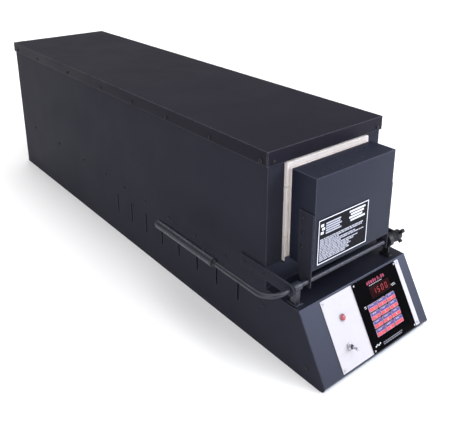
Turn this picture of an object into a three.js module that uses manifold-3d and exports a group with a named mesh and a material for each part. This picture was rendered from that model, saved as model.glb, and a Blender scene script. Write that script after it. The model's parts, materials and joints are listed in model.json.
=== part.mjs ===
// Long front-loading heat-treating kiln with a drop-down door and a sloped control panel.
// Millimetres, +Z up, +X to the right of someone facing the door, +Y towards the back.
// Inside this file y = 0 is the front face of the lid; the exported group is moved so that
// its origin is the centre of the footprint, on the floor.
import * as THREE from 'three';
import { mergeVertices } from 'three/addons/utils/BufferGeometryUtils.js';
import Module from 'manifold-3d';

const wasm = await Module();
wasm.setup();

// ---- driving dimensions ----------------------------------------------------------------
const SHEET = 1.5;               // sheet metal
const GAP = 0.3;                 // clearance between touching pieces

const LID_HALF = 165;
const LID_LENGTH = 1272;
const LID_TOP = 431.5;
const SKIRT = 30;
const LID_WALL = 1.5;

const CASE_HALF = 161.5;         // outer face of the side panels
const CASE_FRONT = 3.5;
const CASE_REAR = 1268.5;
const CASE_TOP = LID_TOP - LID_WALL - GAP;
const FLANGE_INNER = 119;        // inner edge of the flange folded round the front corners

const CASE_FLOOR = 188;          // top of the plate under the bricks
const SHELF = 140;
const SHELF_FRONT = -88;
const TOE_FRONT = -162;          // lower edge of the slope
const TOE_HEIGHT = 12;
const HEEL = -150;               // where the base meets the floor

const BRICK_HALF = 118.5;
const BRICK_FRONT = -3.5;
const BRICK_BOTTOM = CASE_FLOOR + GAP;
const BRICK_TOP = 399;
const CHAMBER_HALF = 70;
const CHAMBER_FLOOR = 241;
const CHAMBER_ROOF = 349;
const CHAMBER_REAR = 1211;
const REAR_BRICK = 37;
const BRICK_STOP_TOP = 198.5;    // top of the lip in front of the floor brick

const ELEMENT_RADIUS = 5;
const ELEMENT_HEIGHTS = [273, 317];
const GROOVE = 13;
const ELEMENT_X = CHAMBER_HALF + GROOVE / 2;
const ELEMENT_FRONT = 45;
const ELEMENT_BEND = 14;

const HINGE_Y = -66;
const HINGE_Z = 176;
const ROD_RADIUS = 5.5;
const ROD_HOLE = ROD_RADIUS + GAP;

const DOOR_HALF = 114.4;
const DOOR_FRONT = -75;
const DOOR_REAR = -12;
const DOOR_BOTTOM = 200;
const DOOR_TOP = 391;
const DOOR_BRICK_REAR = BRICK_FRONT - 0.5;

const ARM_BAR = 25.4;            // height of the flat hinge bars
const ARM_THICK = 4;
const HANDLE_X = -217;
const HANDLE_BEND = 35;
const GRIP_FRONT = 97;
const GRIP_REAR = 305;
const GRIP_RADIUS = 10;
const LEFT_BEARING = [-158, -139];
const RIGHT_BEARING = [121, 133];
const RIGHT_ARM_X = 150;
const COLLAR = [154.6, 167];

const PANEL_LEFT = -107.5;       // control plate, across the slope
const PANEL_RIGHT = 134;
const PANEL_TOP = 4;             // and down the slope
const PANEL_BOTTOM = 144.5;
const OVERLAY = { left: -18, right: 119, top: 3.7, bottom: 144.8 };
const KEY = { width: 27.2, height: 15, thick: 2, pitchX: 28.7, pitchS: 16.6 };
const KEY_CENTRE = { x: 46.5, s: 88 };
const DISPLAY = { x: 56, s: 37.5, width: 62, height: 22 };
const PILOT = { x: -66.3, s: 50 };
const TOGGLE = { x: -72.6, s: 105.3, tilt: 13 };

const FOOT_CENTRE_Y = (TOE_FRONT + CASE_REAR) / 2;

// ---- materials -------------------------------------------------------------------------
function finish(color, roughness, metalness = 0) {
  return new THREE.MeshStandardMaterial({ color, roughness, metalness });
}
const blackPaint = finish(0x35363c, 0.55, 0.2);
const darkSteel = finish(0x3a3b42, 0.4, 0.8);
const brightSteel = finish(0xb8bac0, 0.3, 0.9);
const firebrick = finish(0xebded4, 0.95);
const blanketWool = finish(0xe8e6e0, 1.0);
const elementWire = finish(0x6d6258, 0.6, 0.6);
const ceramicWhite = finish(0xe6e2da, 0.5);
const plateWhite = finish(0xf0eef0, 0.45);
const overlayBlack = finish(0x0c0c10, 0.35);
const keyFace = finish(0xc8404c, 0.5);
const displayRed = finish(0x2a0508, 0.1);
const lensRed = finish(0xc81824, 0.15);
const boardGreen = finish(0x2a5c3a, 0.6);
const relayBlack = finish(0x1c1c1e, 0.5);
const platePrinted = finish(0x25252c, 0.4);

// ---- solids ----------------------------------------------------------------------------
function toSolid(geometry) {
  const bare = geometry.clone();
  bare.deleteAttribute('normal');
  bare.deleteAttribute('uv');
  const merged = mergeVertices(bare, 1e-4);
  return new wasm.Manifold(new wasm.Mesh({
    numProp: 3,
    vertProperties: new Float32Array(merged.attributes.position.array),
    triVerts: new Uint32Array(merged.index.array),
  }));
}

function toGeometry(solid) {
  const mesh = solid.getMesh();
  const geometry = new THREE.BufferGeometry();
  geometry.setAttribute('position', new THREE.BufferAttribute(mesh.vertProperties, 3));
  geometry.setIndex(new THREE.BufferAttribute(mesh.triVerts, 1));
  geometry.computeVertexNormals();
  return geometry;
}

function cut(geometry, ...tools) {
  return toGeometry(tools.reduce((solid, tool) => solid.subtract(toSolid(tool)), toSolid(geometry)));
}

function join(geometry, ...others) {
  return toGeometry(others.reduce((solid, other) => solid.add(toSolid(other)), toSolid(geometry)));
}

function box([x0, y0, z0], [x1, y1, z1]) {
  const geometry = new THREE.BoxGeometry(x1 - x0, y1 - y0, z1 - z0);
  return geometry.translate((x0 + x1) / 2, (y0 + y1) / 2, (z0 + z1) / 2);
}

function circle(a, b, radius, sides = 16) {
  return Array.from({ length: sides }, (_, i) => {
    const angle = (2 * Math.PI * i) / sides;
    return [a + radius * Math.cos(angle), b + radius * Math.sin(angle)];
  });
}

const outline = (points) => new THREE.Shape(points.map(([a, b]) => new THREE.Vector2(a, b)));

function prism(points, from, to) {
  const geometry = new THREE.ExtrudeGeometry(outline(points), { depth: to - from, bevelEnabled: false });
  return geometry.translate(0, 0, from);
}

// An outline in (x, y), swept from z0 to z1, with holes right through.
function sweepZ(points, z0, z1, holes = []) {
  return cut(prism(points, z0, z1), ...holes.map((hole) => prism(hole, z0 - 1, z1 + 1)));
}

// An outline in (y, z), swept from x0 to x1, with holes right through.
function sweepX(points, x0, x1, holes = []) {
  const turn = new THREE.Matrix4().makeBasis(
    new THREE.Vector3(0, 1, 0), new THREE.Vector3(0, 0, 1), new THREE.Vector3(1, 0, 0));
  return sweepZ(points, x0, x1, holes).applyMatrix4(turn);
}

// A closed (radius, height) profile turned about the local axis, then laid along +X or +Y.
function turned(profile, along = 'z', sides = 20) {
  const geometry = new THREE.LatheGeometry(profile.map(([r, h]) => new THREE.Vector2(r, h)), sides);
  geometry.rotateX(Math.PI / 2);                     // three turns about Y; stand it on Z
  if (along === 'x') geometry.rotateY(Math.PI / 2);
  if (along === 'y') geometry.rotateX(-Math.PI / 2);
  const bare = geometry.clone();
  bare.deleteAttribute('normal');
  bare.deleteAttribute('uv');
  return toGeometry(facingOut(mergeVertices(bare, 1e-4)));
}

// A profile listed the other way round gives an inside-out solid, which is turned back here.
function facingOut(geometry) {
  const index = geometry.index.array;
  const corner = (i) => new THREE.Vector3().fromBufferAttribute(geometry.attributes.position, index[i]);
  let volume = 0;
  for (let i = 0; i < index.length; i += 3) {
    volume += corner(i).dot(corner(i + 1).cross(corner(i + 2)));
  }
  if (volume < 0) {
    for (let i = 0; i < index.length; i += 3) [index[i], index[i + 1]] = [index[i + 1], index[i]];
  }
  return toSolid(geometry);
}

function rod(radius, from, to, along = 'x', sides = 16) {
  return turned([[0, from], [radius, from], [radius, to], [0, to]], along, sides);
}

function ring(inner, outer, from, to, along = 'x', sides = 20) {
  return turned([[inner, from], [outer, from], [outer, to], [inner, to], [inner, from]], along, sides);
}

// A path whose rings stand exactly on its listed points.
class ListedPath extends THREE.Curve {
  constructor(points) {
    super();
    this.points = points;
  }

  getPointAt(u, target = new THREE.Vector3()) {
    const place = u * (this.points.length - 1);
    const i = Math.min(Math.floor(place), this.points.length - 2);
    return target.lerpVectors(this.points[i], this.points[i + 1], place - i);
  }

  getPoint(t, target) {
    return this.getPointAt(t, target);
  }

  getTangentAt(u, target = new THREE.Vector3()) {
    const last = this.points.length - 1;
    const i = Math.round(u * last);
    const before = this.points[Math.max(i - 1, 0)];
    const after = this.points[Math.min(i + 1, last)];
    return target.subVectors(after, before).normalize();
  }
}

function tube(points, radius, sides = 12) {
  const path = new ListedPath(points);
  return new THREE.ExtrudeGeometry(outline(circle(0, 0, radius, sides)), {
    steps: points.length - 1, extrudePath: path, bevelEnabled: false,
  });
}

// Points of a quarter turn about centre, from centre + r*from to centre + r*to.
function quarter(centre, from, to, radius, steps = 8) {
  return Array.from({ length: steps + 1 }, (_, i) => {
    const angle = (Math.PI / 2) * (i / steps);
    return centre.clone()
      .addScaledVector(from, radius * Math.cos(angle))
      .addScaledVector(to, radius * Math.sin(angle));
  });
}

const V = (x, y, z) => new THREE.Vector3(x, y, z);

// ---- assembly --------------------------------------------------------------------------
const kiln = new THREE.Group();
kiln.position.set(0, -FOOT_CENTRE_Y, 0);

// The control panel's own frame: x across, y up the slope, z out of the panel.
const panel = new THREE.Group();
const slopeAngle = Math.atan2(SHELF - TOE_HEIGHT, SHELF_FRONT - TOE_FRONT);
panel.position.set(0, SHELF_FRONT, SHELF);
panel.rotation.x = slopeAngle;
kiln.add(panel);

function add(name, geometry, material, parent = kiln) {
  const mesh = new THREE.Mesh(geometry, material);
  mesh.name = name;
  parent.add(mesh);
  return mesh;
}

// ---- case and base sheets --------------------------------------------------------------
const SLOT = { count: 8, first: 88, pitch: 73, bottom: 66, top: 120, halfWidth: 2.3 };

function sidePanel(side) {
  const slots = Array.from({ length: SLOT.count }, (_, i) => {
    const y = SLOT.first + SLOT.pitch * i;
    return [
      [y - SLOT.halfWidth, SLOT.bottom], [y + SLOT.halfWidth, SLOT.bottom],
      [y + SLOT.halfWidth, SLOT.top], [y - SLOT.halfWidth, SLOT.top],
    ];
  });
  const sheet = [
    [CASE_REAR, 0], [CASE_REAR, CASE_TOP], [CASE_FRONT, CASE_TOP], [CASE_FRONT, SHELF],
    [SHELF_FRONT, SHELF], [TOE_FRONT, TOE_HEIGHT], [TOE_FRONT + 2, 5], [TOE_FRONT + 6, 1.2], [HEEL, 0],
  ];
  const outer = side * CASE_HALF;
  const inner = side * (CASE_HALF - SHEET);
  const flange = box(
    [Math.min(outer, side * FLANGE_INNER), CASE_FRONT, CASE_FLOOR + GAP],
    [Math.max(outer, side * FLANGE_INNER), CASE_FRONT + SHEET, CASE_TOP]);
  return join(sweepX(sheet, Math.min(outer, inner), Math.max(outer, inner), slots), flange);
}
add('left_side_panel', sidePanel(-1), blackPaint);
add('right_side_panel', sidePanel(1), blackPaint);

function lidCover() {
  const bottom = LID_TOP - SKIRT;
  const slit = 1.6;
  const shell = box([-LID_HALF, 0, bottom], [LID_HALF, LID_LENGTH, LID_TOP]);
  const hollow = box(
    [-LID_HALF + LID_WALL, LID_WALL, bottom - 1],
    [LID_HALF - LID_WALL, LID_LENGTH - LID_WALL, LID_TOP - LID_WALL]);
  const slits = [-1, 1].map((side) => box(
    [side * LID_HALF - LID_WALL - 1, LID_WALL, bottom - 1],
    [side * LID_HALF + LID_WALL + 1, LID_WALL + slit, LID_TOP - 3]));
  return cut(shell, hollow, ...slits);
}
add('lid_cover', lidCover(), blackPaint);

const INNER = CASE_HALF - SHEET - GAP;
const GLAND = { x: 96, z: 62, radius: 9 };

function rearPanel() {
  const plate = box([-INNER, CASE_REAR - SHEET, GAP], [INNER, CASE_REAR, CASE_TOP]);
  const hole = rod(GLAND.radius + GAP, CASE_REAR - 10, CASE_REAR + 10, 'y').translate(GLAND.x, 0, GLAND.z);
  const vents = Array.from({ length: 7 }, (_, i) => {
    const x = -132 + 22 * i;
    return box([x - 2.3, CASE_REAR - 10, 66], [x + 2.3, CASE_REAR + 10, 120]);
  });
  return cut(plate, hole, ...vents);
}
add('rear_panel', rearPanel(), blackPaint);

const REAR_INNER = CASE_REAR - SHEET - GAP;
add('case_floor_plate', box(
  [-INNER, CASE_FRONT, CASE_FLOOR - SHEET],
  [INNER, REAR_INNER, CASE_FLOOR]), blackPaint);
add('base_bottom_plate', box([-INNER, HEEL + 6, 0], [INNER, REAR_INNER, SHEET]), blackPaint);

// One folded sheet: riser, shelf, slope and bottom lip, with a window behind the control plate.
// A tongue at the top of the riser folds forward under the floor brick and up in front of it.
function baseFrontCover() {
  const top = CASE_FLOOR - SHEET - GAP;
  const lipEnd = HEEL + 14;
  const run = Math.tan((Math.PI / 2 - slopeAngle) / 2) * SHEET;
  const inset = SHEET * Math.tan(slopeAngle / 2);
  const sheet = [
    [CASE_FRONT, top], [CASE_FRONT, SHELF], [SHELF_FRONT, SHELF], [TOE_FRONT, TOE_HEIGHT],
    [TOE_FRONT + 2.4, 6], [TOE_FRONT + 7, 2], [lipEnd, 2],
    [lipEnd, 2 + SHEET], [TOE_FRONT + 7.6, 2 + SHEET], [TOE_FRONT + 3.9, 6.8],
    [TOE_FRONT + SHEET + run * 0.4, TOE_HEIGHT], [SHELF_FRONT + inset, SHELF - SHEET],
    [CASE_FRONT + SHEET, SHELF - SHEET], [CASE_FRONT + SHEET, top],
  ];
  const window = box([-96, -130, -12], [112, -18, 12]);
  window.rotateX(slopeAngle);
  window.translate(0, SHELF_FRONT, SHELF);
  const stopRear = BRICK_FRONT - GAP;
  const stopFront = stopRear - SHEET;
  const tongue = sweepX([
    [CASE_FRONT + SHEET, top], [CASE_FRONT + SHEET, top - SHEET], [stopFront, top - SHEET],
    [stopFront, BRICK_STOP_TOP], [stopRear, BRICK_STOP_TOP], [stopRear, top],
  ], -BRICK_HALF, BRICK_HALF);
  return cut(join(sweepX(sheet, -INNER, INNER), tongue), window);
}
add('base_front_cover', baseFrontCover(), blackPaint);

// ---- bricks, blankets and heating ------------------------------------------------------
function brickSlab(bottom, top) {
  return box([-BRICK_HALF, BRICK_FRONT, bottom], [BRICK_HALF, CHAMBER_REAR, top]);
}
add('roof_brick', brickSlab(CHAMBER_ROOF, BRICK_TOP), firebrick);
add('floor_brick', brickSlab(BRICK_BOTTOM, CHAMBER_FLOOR), firebrick);

function wallBrick(side) {
  const x = [side * BRICK_HALF, side * CHAMBER_HALF].sort((a, b) => a - b);
  const wall = box([x[0], BRICK_FRONT, CHAMBER_FLOOR + GAP], [x[1], CHAMBER_REAR, CHAMBER_ROOF - GAP]);
  const grooveX = [side * (CHAMBER_HALF + GROOVE), side * (CHAMBER_HALF - 1)].sort((a, b) => a - b);
  const half = GROOVE / 2;
  const grooves = ELEMENT_HEIGHTS.map((z) => box(
    [grooveX[0], ELEMENT_FRONT - 12, z - half], [grooveX[1], CHAMBER_REAR + 1, z + half]));
  const turn = box(
    [grooveX[0], ELEMENT_FRONT - 12, ELEMENT_HEIGHTS[0] - half],
    [grooveX[1], ELEMENT_FRONT + 18, ELEMENT_HEIGHTS[1] + half]);
  return cut(wall, ...grooves, turn);
}
add('left_wall_brick', wallBrick(-1), firebrick);
add('right_wall_brick', wallBrick(1), firebrick);

const REAR_BRICK_FRONT = CHAMBER_REAR + GAP;
const REAR_BRICK_REAR = REAR_BRICK_FRONT + REAR_BRICK;
const PROBE = { x: 0, z: 330, radius: 3.2, tip: 1186 };

function rearBrick() {
  const slab = box(
    [-BRICK_HALF, REAR_BRICK_FRONT, BRICK_BOTTOM],
    [BRICK_HALF, REAR_BRICK_REAR, BRICK_TOP]);
  const through = (radius, x, z) => (
    rod(radius, CHAMBER_REAR - 5, REAR_BRICK_REAR + 5, 'y', 12).translate(x, 0, z));
  const legs = [-1, 1].flatMap((side) => ELEMENT_HEIGHTS.map((z) => (
    through(ELEMENT_RADIUS + 0.6, side * ELEMENT_X, z))));
  return cut(slab, ...legs, through(PROBE.radius + GAP, PROBE.x, PROBE.z));
}
add('rear_wall_brick', rearBrick(), firebrick);

const BLANKET_FRONT = CASE_FRONT + SHEET + GAP;
function blanket(left, right, bottom, top) {
  return box([left, BLANKET_FRONT, bottom], [right, REAR_BRICK_REAR, top]);
}
add('top_blanket', blanket(-INNER, INNER, BRICK_TOP + GAP, CASE_TOP - GAP), blanketWool);
add('left_blanket', blanket(-INNER, -BRICK_HALF - GAP, BRICK_BOTTOM, BRICK_TOP), blanketWool);
add('right_blanket', blanket(BRICK_HALF + GAP, INNER, BRICK_BOTTOM, BRICK_TOP), blanketWool);

// A hairpin element: two legs along the wall, joined near the door.
function heatingElement(side) {
  const [low, high] = ELEMENT_HEIGHTS;
  const x = side * ELEMENT_X;
  const end = REAR_BRICK_REAR + 1;
  const bendY = ELEMENT_FRONT + ELEMENT_BEND;
  const points = [
    V(x, end, low),
    ...quarter(V(x, bendY, low + ELEMENT_BEND), V(0, 0, -1), V(0, -1, 0), ELEMENT_BEND, 5),
    ...quarter(V(x, bendY, high - ELEMENT_BEND), V(0, -1, 0), V(0, 0, 1), ELEMENT_BEND, 5),
    V(x, end, high),
  ];
  return tube(points, ELEMENT_RADIUS, 8);
}
add('left_heating_element', heatingElement(-1), elementWire);
add('right_heating_element', heatingElement(1), elementWire);

function terminalBlock(side) {
  const x = side * ELEMENT_X;
  return box([x - 11, REAR_BRICK_REAR + 1 + GAP, 258], [x + 11, REAR_BRICK_REAR + 13, 332]);
}
add('left_terminal_block', terminalBlock(-1), ceramicWhite);
add('right_terminal_block', terminalBlock(1), ceramicWhite);

add('thermocouple', turned([
  [0, PROBE.tip], [PROBE.radius, PROBE.tip], [PROBE.radius, REAR_BRICK_REAR + GAP],
  [9, REAR_BRICK_REAR + GAP], [9, REAR_BRICK_REAR + 14], [0, REAR_BRICK_REAR + 14],
], 'y', 12).translate(PROBE.x, 0, PROBE.z), ceramicWhite);

// ---- electrics in the base -------------------------------------------------------------
add('relay', box([70, 120, SHEET + GAP], [120, 185, 48]), relayBlack);
add('transformer', box([-60, 90, SHEET + GAP], [0, 150, 56]), relayBlack);
add('controller_board', box([-14, -126, -26], [108, -24, -24.4]), boardGreen, panel);
add('cord_gland', turned([
  [0, CASE_REAR - 10], [GLAND.radius, CASE_REAR - 10], [GLAND.radius, CASE_REAR + GAP],
  [13, CASE_REAR + GAP], [13, CASE_REAR + 6], [8, CASE_REAR + 12], [0, CASE_REAR + 12],
], 'y', 16).translate(GLAND.x, 0, GLAND.z), relayBlack);

// ---- control panel, in the slope's frame (s is counted down the slope) ------------------
const PLATE = [GAP, GAP + 1.2];
const OVERLAY_Z = [PLATE[1] + GAP, PLATE[1] + GAP + 2];

function plateHole(radius, at) {
  return circle(at.x, -at.s, radius, 16);
}

function rectangle(x, s, width, height) {
  return [
    [x - width / 2, -s - height / 2], [x + width / 2, -s - height / 2],
    [x + width / 2, -s + height / 2], [x - width / 2, -s + height / 2],
  ];
}

add('control_plate', sweepZ([
  [PANEL_LEFT, -PANEL_BOTTOM], [PANEL_RIGHT, -PANEL_BOTTOM],
  [PANEL_RIGHT, -PANEL_TOP], [PANEL_LEFT, -PANEL_TOP],
], PLATE[0], PLATE[1], [plateHole(6.6, PILOT), plateHole(6.2, TOGGLE)]), plateWhite, panel);

const keyPlaces = Array.from({ length: 12 }, (_, i) => ({
  x: KEY_CENTRE.x + ((i % 3) - 1) * KEY.pitchX,
  s: KEY_CENTRE.s + (Math.floor(i / 3) - 1.5) * KEY.pitchS,
}));

add('keypad_overlay', sweepZ([
  [OVERLAY.left, -OVERLAY.bottom], [OVERLAY.right, -OVERLAY.bottom],
  [OVERLAY.right, -OVERLAY.top], [OVERLAY.left, -OVERLAY.top],
], OVERLAY_Z[0], OVERLAY_Z[1], [
  rectangle(DISPLAY.x, DISPLAY.s, DISPLAY.width + 0.8, DISPLAY.height + 0.8),
  ...keyPlaces.map(({ x, s }) => rectangle(x, s, KEY.width + 0.7, KEY.height + 0.7)),
]), overlayBlack, panel);

add('display_window', box(
  [DISPLAY.x - DISPLAY.width / 2, -DISPLAY.s - DISPLAY.height / 2, OVERLAY_Z[0]],
  [DISPLAY.x + DISPLAY.width / 2, -DISPLAY.s + DISPLAY.height / 2, OVERLAY_Z[1] - 0.2],
), displayRed, panel);

const KEY_BOTTOM = OVERLAY_Z[0] + 0.9;
keyPlaces.forEach(({ x, s }, i) => {
  add(`key_${i + 1}`, box(
    [x - KEY.width / 2, -s - KEY.height / 2, KEY_BOTTOM],
    [x + KEY.width / 2, -s + KEY.height / 2, KEY_BOTTOM + KEY.thick]), keyFace, panel);
});

const RIM = PLATE[1] + GAP;      // where the lamp's rim meets the plate
add('pilot_bezel', turned([
  [5.2, -12], [6.2, -12], [6.2, RIM], [7.8, RIM], [7.6, RIM + 2.2],
  [6.5, RIM + 2.2], [6.5, RIM + 0.7], [5.2, RIM + 0.7], [5.2, -12],
], 'z', 20).translate(PILOT.x, -PILOT.s, 0), brightSteel, panel);
add('pilot_lens', turned([
  [0, -8], [4.9, -8], [4.9, RIM + 1], [6.2, RIM + 1], [6.2, RIM + 2.6],
  [5.2, RIM + 4.4], [3, RIM + 5.6], [0, RIM + 6],
], 'z', 16).translate(PILOT.x, -PILOT.s, 0), lensRed, panel);

const BUSHING_TOP = 9;
const TOGGLE_PIVOT = 5;

function toggleBody() {
  const stem = rod(5.6, -2, BUSHING_TOP, 'z', 16);
  const nut = rod(7.6, PLATE[1] + GAP, PLATE[1] + 3, 'z', 6);
  const bodyBox = box([-8, -14, -26], [8, 14, -1]);
  const mouth = turned([[0, -6], [3.4, -6], [5.0, BUSHING_TOP + 1], [0, BUSHING_TOP + 1]], 'z', 16);
  return cut(join(bodyBox, stem, nut), mouth).translate(TOGGLE.x, -TOGGLE.s, 0);
}
add('toggle_switch_body', toggleBody(), brightSteel, panel);

const lever = turned([
  [0, -3], [2.2, -3], [1.9, 5], [3.1, 17], [2.4, 19], [0, 19.8],
], 'z', 12);
lever.rotateX(THREE.MathUtils.degToRad(TOGGLE.tilt));
add('toggle_lever', lever.translate(TOGGLE.x, -TOGGLE.s, TOGGLE_PIVOT), brightSteel, panel);

// ---- hinge parts fixed to the kiln -----------------------------------------------------
const HALF_BAR = ARM_BAR / 2;

// A flat bar with a round end about the rod, reaching back to y = rear.
function hingeBar(rear) {
  const steps = 10;
  const nose = Array.from({ length: steps + 1 }, (_, i) => {
    const angle = Math.PI / 2 + (Math.PI * i) / steps;
    return [HINGE_Y + HALF_BAR * Math.cos(angle), HINGE_Z + HALF_BAR * Math.sin(angle)];
  });
  return [...nose, [rear, HINGE_Z - HALF_BAR], [rear, HINGE_Z + HALF_BAR]];
}
const hingeHole = circle(HINGE_Y, HINGE_Z, ROD_HOLE);
const leftArmOuter = -CASE_HALF - GAP;
add('left_hinge_arm', sweepX(hingeBar(76), leftArmOuter - ARM_THICK, leftArmOuter, [hingeHole]), blackPaint);

function rightHingeArm() {
  const back = CASE_FRONT - GAP;
  const bar = sweepX(hingeBar(back), RIGHT_ARM_X, RIGHT_ARM_X + ARM_THICK, [hingeHole]);
  const foot = box(
    [RIGHT_ARM_X - 20, back - ARM_THICK, HINGE_Z - HALF_BAR],
    [RIGHT_ARM_X + 1, back, CASE_FLOOR - SHEET - 1]);
  return join(bar, foot);
}
add('right_hinge_arm', rightHingeArm(), blackPaint);

// A ring round the rod on a post with a foot that stands on the shelf.
function bearingBlock([x0, x1], outer) {
  const post = box([x0 + 3, HINGE_Y - 7, SHELF + 1], [x1 - 3, HINGE_Y + 7, HINGE_Z - 3]);
  const foot = box([x0, HINGE_Y - 13, SHELF + GAP], [x1, HINGE_Y + 13, SHELF + 4]);
  const collar = rod(outer, x0, x1, 'x', 20).translate(0, HINGE_Y, HINGE_Z);
  const bore = rod(ROD_HOLE, x0 - 5, x1 + 5, 'x', 16).translate(0, HINGE_Y, HINGE_Z);
  return cut(join(foot, post, collar), bore);
}
add('left_bearing_block', bearingBlock(LEFT_BEARING, 9.5), darkSteel);
add('right_bearing_block', bearingBlock(RIGHT_BEARING, 15), darkSteel);

const onHinge = (geometry) => geometry.translate(0, HINGE_Y, HINGE_Z);
add('torsion_spring', onHinge(ring(ROD_HOLE + 1, 12, RIGHT_BEARING[1] + GAP, RIGHT_ARM_X - GAP)), darkSteel);

// ---- door, riding on the hinge rod -----------------------------------------------------
function doorShell() {
  const pan = box([-DOOR_HALF, DOOR_FRONT, DOOR_BOTTOM], [DOOR_HALF, DOOR_REAR, DOOR_TOP]);
  const hollow = box(
    [-DOOR_HALF + SHEET, DOOR_FRONT + SHEET, DOOR_BOTTOM + SHEET],
    [DOOR_HALF - SHEET, DOOR_REAR + 1, DOOR_TOP - SHEET]);
  return cut(pan, hollow);
}
add('door_shell', doorShell(), blackPaint);
const BRICK_INSET = SHEET + GAP;
add('door_brick', box(
  [-DOOR_HALF + BRICK_INSET, DOOR_FRONT + BRICK_INSET, DOOR_BOTTOM + BRICK_INSET],
  [DOOR_HALF - BRICK_INSET, DOOR_BRICK_REAR, DOOR_TOP - BRICK_INSET]), firebrick);

const BRACKET = { thick: 2.7, front: DOOR_FRONT + 1, rear: -38, bottom: 163, top: 318 };
function doorBracket(side) {
  const inner = DOOR_HALF + GAP;
  const x = [side * inner, side * (inner + BRACKET.thick)].sort((a, b) => a - b);
  const strip = [
    [BRACKET.front, BRACKET.bottom], [BRACKET.rear - 14, BRACKET.bottom],
    [BRACKET.rear, BRACKET.bottom + 22], [BRACKET.rear, BRACKET.top], [BRACKET.front, BRACKET.top],
  ];
  return sweepX(strip, x[0], x[1], [hingeHole]);
}
add('left_door_bracket', doorBracket(-1), blackPaint);
add('right_door_bracket', doorBracket(1), blackPaint);

const ROD_JOINT = (LEFT_BEARING[0] + LEFT_BEARING[1]) / 2;   // hidden inside the left bearing
add('hinge_shaft', onHinge(rod(ROD_RADIUS, ROD_JOINT + GAP / 2, COLLAR[1] + 3)), darkSteel);

function handleArm() {
  const corner = V(HANDLE_X + HANDLE_BEND, HINGE_Y + HANDLE_BEND, HINGE_Z);
  return tube([
    V(ROD_JOINT - GAP / 2, HINGE_Y, HINGE_Z),
    ...quarter(corner, V(0, -1, 0), V(-1, 0, 0), HANDLE_BEND),
    V(HANDLE_X, GRIP_FRONT + 40, HINGE_Z),
  ], ROD_RADIUS);
}
add('handle_arm', handleArm(), darkSteel);

const onHandle = (geometry) => geometry.translate(HANDLE_X, 0, HINGE_Z);
add('handle_collar', onHandle(ring(ROD_HOLE, 7.6, GRIP_FRONT - 7, GRIP_FRONT - GAP, 'y', 16)), darkSteel);
add('handle_grip', onHandle(turned([
  [ROD_HOLE, GRIP_FRONT], [GRIP_RADIUS, GRIP_FRONT], [GRIP_RADIUS, GRIP_REAR - 1.5],
  [GRIP_RADIUS - 1.5, GRIP_REAR], [0, GRIP_REAR], [0, GRIP_FRONT + 40 + GAP],
  [ROD_HOLE, GRIP_FRONT + 40 + GAP], [ROD_HOLE, GRIP_FRONT],
], 'y', 20)), darkSteel);

// The collar that winds the spring, with its two bolts.
const COLLAR_MID = (COLLAR[0] + COLLAR[1]) / 2;
const COLLAR_RADIUS = 11;
const UPPER_BOLT = { angle: 131, tip: 23 };
const LOWER_BOLT = { angle: 226, tip: 18 };

function tensionBolt({ angle, tip }) {
  const shank = rod(2.9, ROD_HOLE + 0.6, COLLAR_RADIUS + 1, 'z', 10);
  const head = rod(4.6, COLLAR_RADIUS + GAP, tip, 'z', 12);
  const bolt = join(shank, head);
  bolt.rotateX(THREE.MathUtils.degToRad(angle - 90));
  return onHinge(bolt.translate(COLLAR_MID, 0, 0));
}

function springCollar() {
  const bores = [UPPER_BOLT, LOWER_BOLT].map(({ angle }) => {
    const bore = rod(2.9 + GAP, 3, COLLAR_RADIUS + 4, 'z', 10);
    bore.rotateX(THREE.MathUtils.degToRad(angle - 90));
    return bore.translate(COLLAR_MID, 0, 0);
  });
  return onHinge(cut(ring(ROD_HOLE, COLLAR_RADIUS, COLLAR[0], COLLAR[1]), ...bores));
}
add('spring_collar', springCollar(), darkSteel);
add('upper_tension_bolt', tensionBolt(UPPER_BOLT), darkSteel);
add('lower_tension_bolt', tensionBolt(LOWER_BOLT), darkSteel);

const DATA_PLATE = { left: -105, right: 40, bottom: 208, top: 304.5, thick: 0.8 };
add('data_plate', box(
  [DATA_PLATE.left, DOOR_FRONT - GAP - DATA_PLATE.thick, DATA_PLATE.bottom],
  [DATA_PLATE.right, DOOR_FRONT - GAP, DATA_PLATE.top]), platePrinted);

export default kiln;
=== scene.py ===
"""Looks of the long front-loading kiln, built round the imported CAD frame. Metres, +Z up."""
import json
import math
import random

import bmesh
import bpy
from mathutils import Matrix, Vector

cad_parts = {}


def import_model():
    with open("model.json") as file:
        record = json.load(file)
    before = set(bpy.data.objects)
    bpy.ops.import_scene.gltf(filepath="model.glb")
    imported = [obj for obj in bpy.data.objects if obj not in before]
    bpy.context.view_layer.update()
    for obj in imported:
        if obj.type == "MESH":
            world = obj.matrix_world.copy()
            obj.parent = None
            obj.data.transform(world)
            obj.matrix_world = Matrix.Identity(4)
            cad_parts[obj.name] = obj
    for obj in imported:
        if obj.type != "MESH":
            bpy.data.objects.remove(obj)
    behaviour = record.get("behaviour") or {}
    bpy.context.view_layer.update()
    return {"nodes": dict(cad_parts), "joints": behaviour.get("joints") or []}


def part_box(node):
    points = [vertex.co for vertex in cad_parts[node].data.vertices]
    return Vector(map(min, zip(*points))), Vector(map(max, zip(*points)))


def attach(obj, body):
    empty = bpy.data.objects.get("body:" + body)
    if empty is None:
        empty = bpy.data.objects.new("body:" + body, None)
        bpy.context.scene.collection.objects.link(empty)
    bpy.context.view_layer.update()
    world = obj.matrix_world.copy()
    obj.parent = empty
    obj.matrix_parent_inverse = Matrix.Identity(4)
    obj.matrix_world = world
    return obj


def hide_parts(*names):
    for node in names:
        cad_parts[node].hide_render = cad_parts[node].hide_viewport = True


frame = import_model()
JOINTS = {joint["name"]: joint for joint in frame["joints"]}
KILN = "kiln_body"
DOOR = "door"
MM = 0.001
X, Y, Z = Vector((1, 0, 0)), Vector((0, 1, 0)), Vector((0, 0, 1))


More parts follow.
